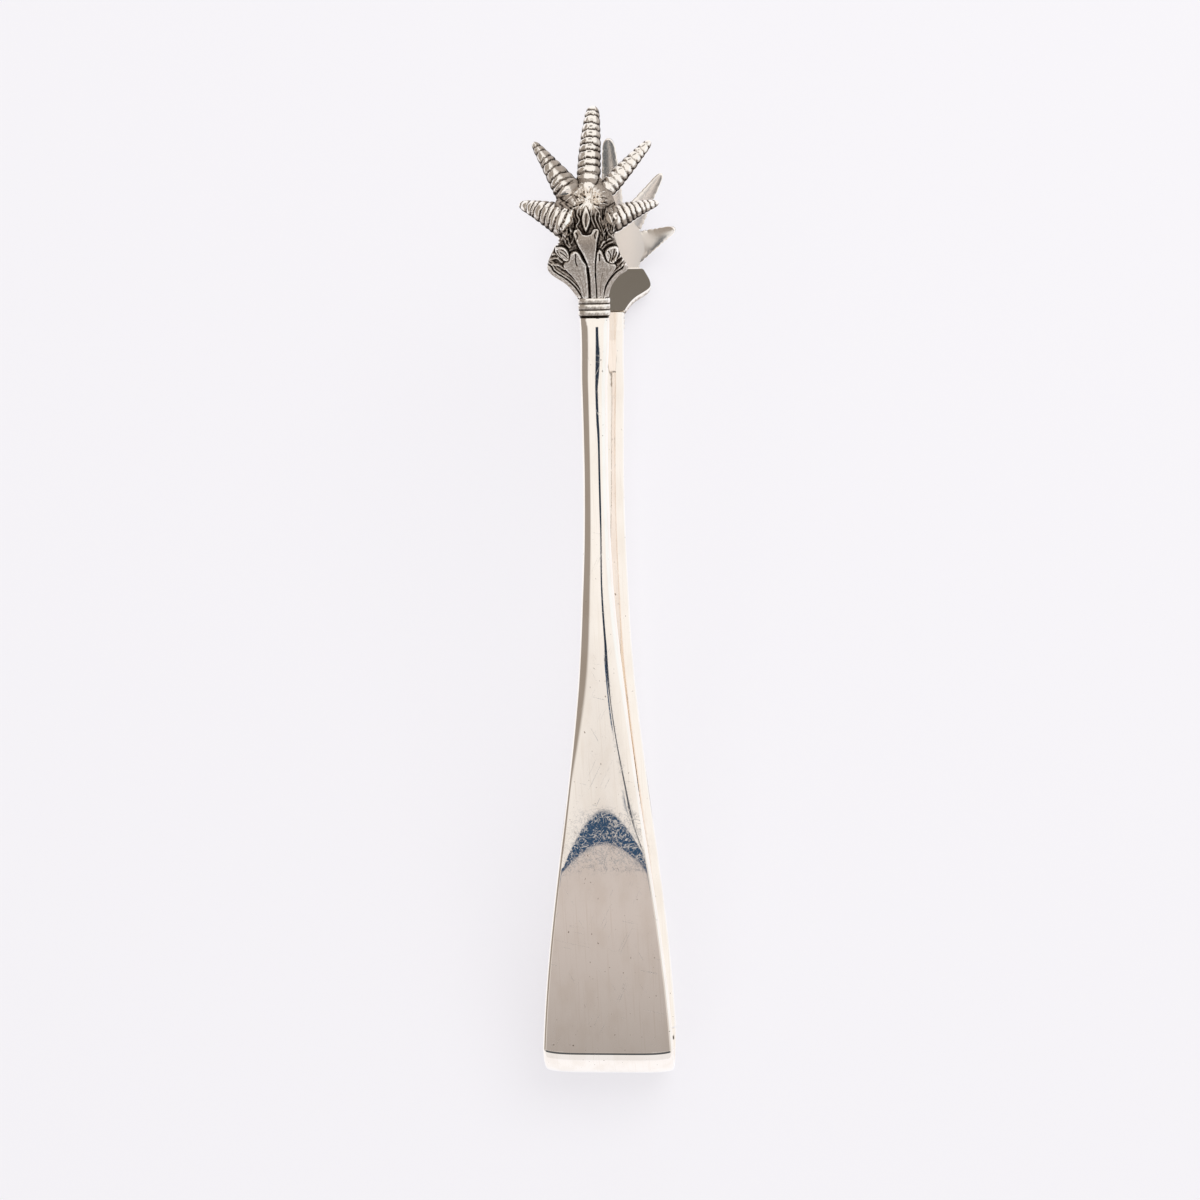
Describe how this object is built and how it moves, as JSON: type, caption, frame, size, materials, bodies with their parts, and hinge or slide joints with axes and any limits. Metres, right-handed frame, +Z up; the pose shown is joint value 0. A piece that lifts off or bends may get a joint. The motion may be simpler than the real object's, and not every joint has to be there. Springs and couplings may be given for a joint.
{
  "type": "sugar tongs",
  "caption": "Silver spring tongs for sugar lumps: a U-shaped bow, flat cheeks narrowing to slim arms, and ribbed bird-claw ends set in leaf capitals.",
  "frame": {"origin": "middle of the tongs' footprint, on the surface they lie on", "axes": "+Z up, +Y along the tongs from the bow to the claws, +X across the arms; the tongs lie on the lower arm"},
  "size_m": [0.0182, 0.1246, 0.0438],
  "materials": {
    "polished_silver": "polished silver with fine scratches",
    "oxidised_silver": "cast silver, dark in the recesses and worn bright on the high points"
  },
  "bodies": {
    "lower_arm": {"lower_arm": "polished_silver", "lower_collar": "oxidised_silver", "lower_leaf_capital": "oxidised_silver", "lower_palm": "oxidised_silver", "lower_talon_1": "oxidised_silver", "lower_talon_2": "oxidised_silver", "lower_talon_3": "oxidised_silver", "lower_talon_4": "oxidised_silver", "lower_talon_5": "oxidised_silver"},
    "bow": {"bow_spring": "polished_silver"},
    "upper_arm": {"upper_arm": "polished_silver", "upper_collar": "oxidised_silver", "upper_leaf_capital": "oxidised_silver", "upper_palm": "oxidised_silver", "upper_talon_1": "oxidised_silver", "upper_talon_2": "oxidised_silver", "upper_talon_3": "oxidised_silver", "upper_talon_4": "oxidised_silver", "upper_talon_5": "oxidised_silver"}
  },
  "joints": [
    {"name": "squeeze_lower", "type": "hinge", "parent": "lower_arm", "child": "bow", "pos_m": [0, -0.05744, 0.0005], "axis": [-1, 0, 0], "range_deg": [0, 6.6], "stiffness_Nm_per_rad": 2},
    {"name": "squeeze_upper", "type": "hinge", "parent": "bow", "child": "upper_arm", "pos_m": [0, -0.05914, 0.01117], "axis": [-1, 0, 0], "range_deg": [0, 6.6], "stiffness_Nm_per_rad": 2}
  ],
  "couplings": [
    {"joint": "squeeze_lower", "follows": "squeeze_upper", "ratio": 1}
  ]
}
